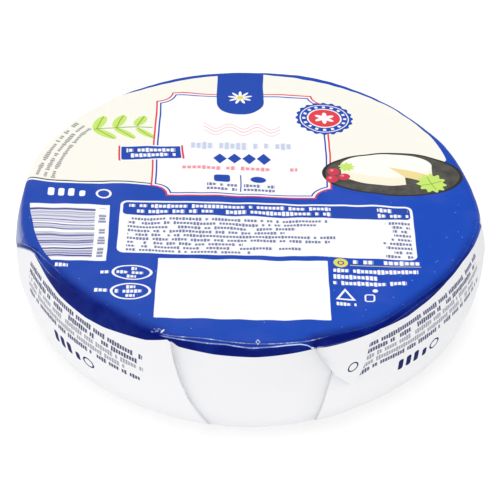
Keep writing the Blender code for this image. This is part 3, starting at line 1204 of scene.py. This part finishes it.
def print_plaque(p, place):
    """White plaque with scooped corners, a red and a blue line inside its edge, and rows."""
    away = p.vector("ABSOLUTE", p.from_place(place, PLAQUE_CENTRE))
    x, y = p.flat(p.vector("SUBTRACT", away, PLAQUE_HALF))
    scoop = p.minus(PLAQUE_SCOOP, p.length(p.join(x, y)))
    edge = p.either(x, y, scoop)
    p.paint(p.inside(edge), RED)
    p.paint(p.inside(edge, -PLAQUE_RED_LINE), LABEL_WHITE)
    p.paint(p.band(edge, *PLAQUE_BLUE_LINE), BLUE)
    p.paint(p.rows(place, *PLAQUE_HEADING), PALE_BLUE)
    x, y = p.flat(p.from_place(place, DIAMONDS_CENTRE))
    near = p.maths("PINGPONG", p.plus(x, DIAMOND_STEP), DIAMOND_STEP)
    diamond = p.plus(p.times(near, DIAMOND_SLOPE), p.size(y))
    diamonds = p.both(p.inside(diamond, DIAMOND_HALF), p.inside(p.size(x), DIAMONDS_REACH))
    p.paint(diamonds, BLUE)
    p.paint(p.rows(place, *PLAQUE_ROW), ROW_PINK)
    pill = p.patch(place, *PLAQUE_PILL)
    rule = p.patch(place, *PLAQUE_RULE)
    drop = p.inside(p.oval(place, *PLAQUE_DROP))
    p.paint(p.either(pill, rule, drop), BLUE)
    for block in PLAQUE_NOTES:
        p.paint(p.rows(place, *block), MIST)
    x, y = p.flat(place)
    swell = p.times(p.maths("SINE", p.times(x, WAVE_TURN)), WAVE_HEIGHT)
    level = p.minus(p.minus(y, WAVES_CENTRE[1]), swell)
    waves = p.either(*[p.band(level, *line) for line in WAVE_LINES])
    p.paint(p.both(waves, p.patch(place, WAVES_CENTRE, WAVES_HALF)), PINK)


def print_tab(p, place):
    """Round-ended blue tab at the back with a plain daisy."""
    p.paint(p.patch(place, *TAB), BLUE)
    petals = p.inside(p.rosette(place, DAISY_CENTRE, *DAISY_PETALS))
    p.paint(petals, LABEL_WHITE)
    p.paint(p.inside(p.disc(place, DAISY_CENTRE, DAISY_HEART)), YELLOW)


def print_seal(p, place):
    """Scalloped blue seal over the plaque's right edge, with a flower on a red disc."""
    edge = p.rosette(place, SEAL_CENTRE, *SEAL_SCALLOPS)
    p.paint(p.inside(edge), BLUE)
    away = p.disc(place, SEAL_CENTRE, 0.0)
    p.paint(p.band(away, *SEAL_RING), LABEL_WHITE)
    for radius, ink in SEAL_DISCS:
        p.paint(p.inside(away, radius), ink)
    x, y = p.flat(p.from_place(place, SEAL_CENTRE))
    turn = p.times(p.maths("ARCTAN2", x, y), SEAL_TICKS)
    ticks = p.above(p.maths("COSINE", turn), SEAL_TICK_FROM)
    ticks = p.both(ticks, p.band(away, *SEAL_TICK_BAND))
    petals = p.inside(p.rosette(place, SEAL_CENTRE, *SEAL_PETALS))
    p.paint(p.either(ticks, petals), LABEL_WHITE)


def print_ribbon(p, place):
    """Short blue ribbon over the plaque's left edge, with a white rim and red ends."""
    turned = p.turned(place, RIBBON_CENTRE, RIBBON_TURN)
    rim = p.patch(turned, RIBBON_CENTRE, RIBBON_RIM_HALF, RIBBON_CORNER)
    p.paint(rim, LABEL_WHITE)
    x = p.flat(p.from_place(turned, RIBBON_CENTRE))[0]
    p.paint(p.both(rim, p.above(p.size(x), RIBBON_END)), RED)
    middle = p.patch(turned, RIBBON_CENTRE, RIBBON_HALF, RIBBON_CORNER)
    p.paint(middle, BLUE)
    p.paint(p.rows(turned, *RIBBON_ROWS), LABEL_WHITE)


def print_board(p, place):
    """Round dark board with a small cut wheel of cheese, berries and leaves."""
    board = p.oval(place, BOARD_CENTRE, BOARD_RADII)
    slate = p.mix(p.noise(place, *BOARD_GRAIN), *SLATE)
    p.paint(p.inside(board), slate)
    p.paint(p.band(board, -BOARD_RIM, 0.0), SLATE_EDGE)
    middle, level = WHEEL_CENTRE
    half = WHEEL_DROP / 2.0
    lower = p.oval(place, (middle, level - WHEEL_DROP), WHEEL_RADII)
    body = p.box(place, (middle, level - half), (WHEEL_RADII[0], half), WHEEL_CORNER)
    top = p.oval(place, WHEEL_CENTRE, WHEEL_RADII)
    wheel = p.inside(p.maths("MINIMUM", p.maths("MINIMUM", lower, body), top))
    p.paint(wheel, RIND_SIDE)
    p.paint(p.inside(top), RIND)
    x, y = p.flat(p.from_place(place, WHEEL_CENTRE))
    below = p.scaled(x, WEDGE_LOWER_SLOPE, p.times(y, -1.0))
    beside = p.larger(p.scaled(x, WEDGE_UPPER_SLOPE, y), p.minus(x, WEDGE_REACH))
    gap = p.both(p.above(x, 0.0), p.above(below, 0.0), p.above(beside, 0.0), wheel)
    cut = p.mix(p.above(below, WHEEL_DROP), CHEESE, slate)
    p.paint(gap, p.mix(p.inside(below, WEDGE_RIND), cut, RIND))
    berries = [p.inside(p.disc(place, centre, BERRY_RADIUS)) for centre in BERRY_CENTRES]
    p.paint(p.either(*berries), BERRY)
    lights = []
    for x, y in BERRY_CENTRES:
        centre = (x + BERRY_LIGHT[0], y + BERRY_LIGHT[1])
        lights.append(p.inside(p.disc(place, centre, BERRY_LIGHT_RADIUS)))
    p.paint(p.times(p.either(*lights), BERRY_LIGHT_INK), PINK)
    leaves = [p.inside(p.rosette(place, *leaf)) for leaf in BOARD_LEAVES]
    p.paint(p.either(*leaves), LEAF)
    centre = BOARD_LEAVES[0][0]
    turned = p.turned(place, centre, LEAF_VEIN_TURN)
    veins = [p.patch(turned, centre, half, THIN_CORNER) for half in LEAF_VEINS]
    p.paint(p.either(*veins), LEAF_DARK)


def print_bars(p, place):
    """White field of uneven bars with a column of small marks, cut off along the rim."""
    turned = p.turned(place, BAR_FIELD[0], BAR_FIELD_TURN)
    field = p.both(p.patch(turned, *BAR_FIELD), p.inside(p.disc(place, *BAR_CUT)))
    p.paint(field, LABEL_WHITE)
    x, y = p.flat(turned)
    left = p.less(x, BAR_RIGHT)
    span = p.patch(turned, BAR_FIELD[0], BAR_HALF)
    fine = p.random(p.join(0.0, p.whole(p.times(y, BAR_PITCHES[0])), 4.0))
    broad = p.random(p.join(1.0, p.whole(p.times(y, BAR_PITCHES[1])), 7.0))
    broad = p.both(p.more(broad, BAR_FROM[1]), span, left)
    p.paint(p.both(field, broad, BROAD_BAR_INK), BAR_PALE)
    ink = p.scaled(p.more(fine, DARK_BAR_FROM), *DARK_BAR_INK)
    bars = p.both(p.more(fine, BAR_FROM[0]), left, span)
    p.paint(p.both(field, bars, ink), BAR_BLUE)
    upright = p.join(p.plus(y, BAR_MARKS_SHIFT), p.plus(x, BAR_MARKS_SHIFT))
    marks = p.rows(upright, *BAR_MARKS)
    p.paint(p.both(marks, field, BAR_MARKS_INK), BAR_MARK)


def print_data_panel(p, place):
    """White panel with a blue heading, a wide block of uneven rows and a narrow one."""
    p.paint(p.patch(place, *PANEL), LABEL_WHITE)
    heading = p.patch(place, *PANEL_HEADING)
    p.paint(heading, BLUE)
    bold = p.either(*[p.rows(place, *block) for block in PANEL_HEADING_ROWS])
    p.paint(p.both(bold, heading), LABEL_WHITE)
    x, y = p.flat(place)
    row = p.whole(p.over(p.plus(y, PANEL_FOOT), PANEL_PITCH))
    ends = p.scaled(p.random(p.join(row, 2.0, 5.0)), *PANEL_LEFT_ENDS)
    left = p.both(p.rows(place, *PANEL_LEFT_ROWS), p.less(x, ends))
    starts = p.scaled(p.random(p.join(row, 7.0, 1.0)), *PANEL_RIGHT_STARTS)
    right = p.both(p.rows(place, *PANEL_RIGHT_ROWS), p.more(x, starts))
    p.paint(p.either(left, right), MIST)


def print_lower_marks(p, place):
    """Blank white box, two ovals, pills and a ring, rows and small signs on the blue front."""
    p.paint(p.patch(place, *BLANK_BOX), LABEL_WHITE)
    ovals = [p.oval(place, centre, OVAL_RADII) for centre in OVAL_CENTRES]
    ink = p.either(*[p.band(oval, *OVAL_LINE) for oval in ovals])
    for number, (x, y) in enumerate(OVAL_CENTRES):
        for (across, up), half_width, letter, height, seed in OVAL_ROWS:
            block = ((x + across, y + up), half_width, 1, OVAL_PITCH, letter, height)
            ink = p.either(ink, p.rows(place, *block, seed + number))
    for centre, half_width, pitch, letter, height in FRONT_ROWS:
        row = p.rows(place, centre, half_width, 1, pitch, letter, height, centre[0])
        ink = p.either(ink, row)
    pills = p.either(*[p.patch(place, *pill) for pill in FRONT_PILLS])
    small = p.patch(place, *FRONT_SMALL_PILL)
    ring = p.band(p.disc(place, RING_CENTRE, 0.0), *RING_BAND)
    away = p.from_place(place, TRIANGLE_CENTRE)
    y = p.flat(away)[1]
    slant = p.scaled(p.flat(p.vector("ABSOLUTE", away))[0], TRIANGLE_SLOPE, y)
    slant = p.times(p.minus(slant, TRIANGLE_TOP), TRIANGLE_SLANT)
    edge = p.larger(slant, p.minus(p.times(y, -1.0), TRIANGLE_FOOT))
    triangle = p.band(edge, *TRIANGLE_LINE)
    dot = p.inside(p.disc(place, *FRAME_DOT))
    dotted = p.either(p.band(p.box(place, *FRAME), *FRAME_LINE), dot)
    p.paint(p.either(ink, pills, small, ring, triangle, dotted), LABEL_WHITE)
    disc = p.disc(place, *YELLOW_DISC)
    p.paint(p.either(p.inside(disc), p.patch(place, *UNDERLINE)), YELLOW)
    p.paint(p.band(disc, *YELLOW_DISC_RING), BLUE)


def print_side(p):
    """Navy rows and a line of bold signs on the white sides of the wide panels."""
    place = p.attribute("side_place", "Vector")
    x, y, length = p.parts(place)
    rows = p.dashes(p.join(x, y), SIDE_PITCH, *SIDE_LETTER, SIDE_SEED)
    row = p.whole(p.over(y, SIDE_PITCH))
    start = p.times(p.random(p.join(row, 3.0, 9.0)), SIDE_STARTS)
    end = p.scaled(p.random(p.join(row, 8.0, 2.0)), SIDE_ENDS, length)
    span = p.both(p.more(x, start), p.less(x, end))
    block = p.both(p.more(y, 0.0), p.less(y, SIDE_BLOCK), span)
    thin = p.inside(p.size(p.minus(y, SIDE_THIN_ROWS)), SIDE_PITCH)
    p.paint(p.both(rows, block, p.scaled(thin, *SIDE_INK)), NAVY)
    signs = [p.patch(place, *sign) for sign in SIDE_SIGNS]
    signs.append(p.band(p.oval(place, *SIDE_RING), *SIDE_RING_LINE))
    p.paint(p.either(*signs), NAVY)
    sign = p.band(p.oval(place, *FLAP_SIGN), *FLAP_SIGN_LINE)
    on_flap = p.maths("COMPARE", length, FLAP_MARK, 0.1)
    p.paint(p.both(sign, on_flap), NAVY)


def crease_wear_and_highlights(p, sheet):
    """Bright lines along the two sharp folds of the top edge, partly worn ink and partly painted
    highlight, and painted glints at a hook, a diamond and a corner.
    """
    coordinates = p.node("TexCoord").outputs["Object"]
    place = p.attribute("side_place", "Vector")
    upper, lower, strength = p.parts(p.attribute("creases", "Vector"))
    patches = p.ramp(p.noise(coordinates, *PATCH_GRAIN), *PATCH_RAMP)
    crumbs = p.ramp(p.noise(coordinates, *CRUMB_GRAIN), *CRUMB_RAMP)
    glitter = p.both(patches, crumbs)
    broken = p.scaled(glitter, *UPPER_LINE_SHARE)
    upper_line = p.both(p.ramp(p.size(upper), *UPPER_LINE_RAMP), broken)
    x = p.flat(place)[0]
    near_hook = p.both(p.ramp(x, *BEFORE_HOOK_RAMP), p.ramp(x, *PAST_HOOK_RAMP))
    steady = p.larger(p.scaled(glitter, *LOWER_LINE_SHARE), near_hook)
    lower_line = p.both(p.ramp(p.size(lower), *LOWER_LINE_RAMP), steady)
    x, y = p.flat(p.vector("ABSOLUTE", p.from_place(place, DIAMOND_GLINT)))
    diamond = p.band(p.scaled(y, DIAMOND_GLINT_SLOPE, x), *DIAMOND_GLINT_LINE)
    diamond = p.both(diamond, p.scaled(crumbs, *DIAMOND_GLINT_SHARE))
    hook_glint = p.inside(p.oval(place, *HOOK_GLINT))
    glints = p.inside(p.oval(sheet, *CORNER_GLINTS))
    glints = p.both(glints, p.ramp(crumbs, *BRIGHT_CRUMB_RAMP), CORNER_GLINTS_INK)
    slanted = p.turned(sheet, CORNER_GLINT_SPOT[0], CORNER_GLINT_TURN)
    glint_spot = p.inside(p.oval(slanted, *CORNER_GLINT_SPOT))
    wear_and_highlight = p.both(p.either(upper_line, lower_line), strength)
    marks = p.times(p.either(diamond, hook_glint, glints, glint_spot), GLINT_SHARE)
    # Partly worn ink and partly painted highlight along the folds, then painted glints
    p.paint(p.times(wear_and_highlight, WEAR_AND_HIGHLIGHT_SHARE), WEAR_AND_HIGHLIGHT)
    p.paint(marks, GLINT)


def print_specks(p, coordinates):
    """Pinholes in the ink."""
    cells = p.node("TexVoronoi", feature="F1")
    p.feed(cells.inputs["Vector"], coordinates)
    cells.inputs["Scale"].default_value = SPECKS_EACH_METRE
    dot = p.less(cells.outputs["Distance"], SPECK_SIZE)
    rare = p.more(p.random(cells.outputs["Position"]), SPECK_FROM)
    p.paint(p.times(p.both(dot, rare), SPECK_INK), SPECK)


def wrap_material(name):
    material = bpy.data.materials.new(name)
    material.use_nodes = True
    shader = material.node_tree.nodes["Principled BSDF"].inputs
    p = Printer(material.node_tree)
    coordinates, place = sheet_place(p)
    across = p.ramp(p.flat(place)[0], *LEFT_TO_RIGHT_RAMP)
    # Noise that makes the painted shade where the sheet turns down uneven
    uneven = p.scaled(p.noise(coordinates, *TURN_SHADE_GRAIN), *TURN_SHADE_UNEVEN)
    turn_shade = p.times(p.attribute("turn_down_shade"), uneven)
    cloud = p.times(p.ramp(p.noise(coordinates, *CLOUD_GRAIN), *CLOUD_RAMP), CLOUD_INK)
    p.shade = p.mix(cloud, p.mix(across, BLUE, BLUE_RIGHT), CLOUD)
    print_specks(p, coordinates)
    # Painted sheen low on the left side
    p.paint(p.attribute("left_sheen"), PALE_BLUE)
    # Painted shade where the sheet turns down
    p.paint(turn_shade, SHADED_BLUE)
    for draw in (
        print_fields, print_sprig, print_rim_rows, print_plaque, print_tab, print_ribbon,
        print_seal, print_board, print_bars, print_data_panel, print_lower_marks,
        crease_wear_and_highlights,
    ):
        draw(p, place)
    top = p.shade
    # Side paper, with painted shade beside the edges of the layers over it
    p.shade = p.mix(p.times(p.attribute("lap_shade"), LAP_SHADE_SHARE), PAPER, LAP_SHADE)
    print_side(p)
    bare = p.above(p.attribute("past_edge"), 0.0)
    p.feed(shader["Base Color"], p.mix(bare, top, p.shade))
    fine = p.noise(coordinates, *FINE_GRAIN)
    rough = p.scaled(fine, FINE_ROUGHER, p.scaled(bare, BARE_ROUGHER, ROUGHNESS))
    p.feed(shader["Roughness"], rough)
    shader["Specular IOR Level"].default_value = SPECULAR
    soft = p.noise(coordinates, *SOFT_GRAIN)
    near_rim = p.ramp(p.size(p.attribute("side_depth")), *RIM_RAMP)
    height = p.scaled(p.times(soft, near_rim), RIM_DENTS, p.times(fine, FINE_DENTS))
    bump = p.node("Bump")
    bump.inputs["Strength"].default_value = BUMP_STRENGTH
    bump.inputs["Distance"].default_value = BUMP_DISTANCE
    p.feed(bump.inputs["Height"], p.scaled(soft, SOFT_DENTS, height))
    p.feed(shader["Normal"], bump.outputs["Normal"])
    return material


def add_object(name, data):
    found = bpy.data.objects.new(name, data)
    bpy.context.scene.collection.objects.link(found)
    return found


def add_camera():
    camera = bpy.data.cameras.new("camera")
    camera.lens = FOCAL_PIXELS / PHOTO_PIXELS * SENSOR
    camera.sensor_width = SENSOR
    camera.shift_x = -(AXIS_PIXEL[0] - PHOTO_PIXELS / 2.0) / PHOTO_PIXELS
    camera.shift_y = (AXIS_PIXEL[1] - PHOTO_PIXELS / 2.0) / PHOTO_PIXELS
    camera.clip_start = 0.01
    holder = add_object("camera", camera)
    lift = math.radians(CAMERA_ELEVATION)
    holder.location = (0.0, -CAMERA_DISTANCE * math.cos(lift), CAMERA_DISTANCE * math.sin(lift))
    holder.rotation_euler = (math.radians(90.0 - CAMERA_ELEVATION), 0.0, 0.0)
    bpy.context.scene.camera = holder


def add_softbox(name, place, size, power):
    """Round soft light that is aimed at the wheel."""
    light = bpy.data.lights.new(name, "AREA")
    light.shape = "DISK"
    light.size = size
    light.energy = power
    holder = add_object(name, light)
    holder.location = place
    x, y, z = place
    tilt = math.atan2(math.hypot(x, y), z)
    holder.rotation_euler = (tilt, 0.0, math.atan2(-y, -x) - math.radians(90.0))


def add_studio():
    floor_mesh = bpy.data.meshes.new("floor")
    work = bmesh.new()
    bmesh.ops.create_grid(work, x_segments=2, y_segments=2, size=FLOOR_HALF)
    work.to_mesh(floor_mesh)
    work.free()
    floor = add_object("floor", floor_mesh)
    material = bpy.data.materials.new("pale_floor")
    material.use_nodes = True
    shader = material.node_tree.nodes["Principled BSDF"].inputs
    for title, value in (
        ("Base Color", (FLOOR_GREY, FLOOR_GREY, FLOOR_GREY, 1.0)),
        ("Roughness", 0.9),
        ("Specular IOR Level", 0.0),
        ("Emission Color", (1.0, 1.0, 1.0, 1.0)),
        ("Emission Strength", FLOOR_GLOW),
    ):
        shader[title].default_value = value
    floor_mesh.materials.append(material)
    world = bpy.data.worlds.new("studio")
    world.use_nodes = True
    background = world.node_tree.nodes["Background"].inputs
    background["Color"].default_value = (1.0, 1.0, 1.0, 1.0)
    background["Strength"].default_value = WORLD_STRENGTH
    bpy.context.scene.world = world
    bpy.context.scene.view_settings.view_transform = "Standard"
    for softbox in SOFTBOXES:
        add_softbox(*softbox)


def add_wrap():
    mesh = wrap_mesh("wrap")
    mesh.materials.append(wrap_material("printed_wrap_paper"))
    wrap = add_object("folded_wrap", mesh)
    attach(wrap, "root")
    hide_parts("wrapped_wheel")


add_wrap()
add_studio()
add_camera()
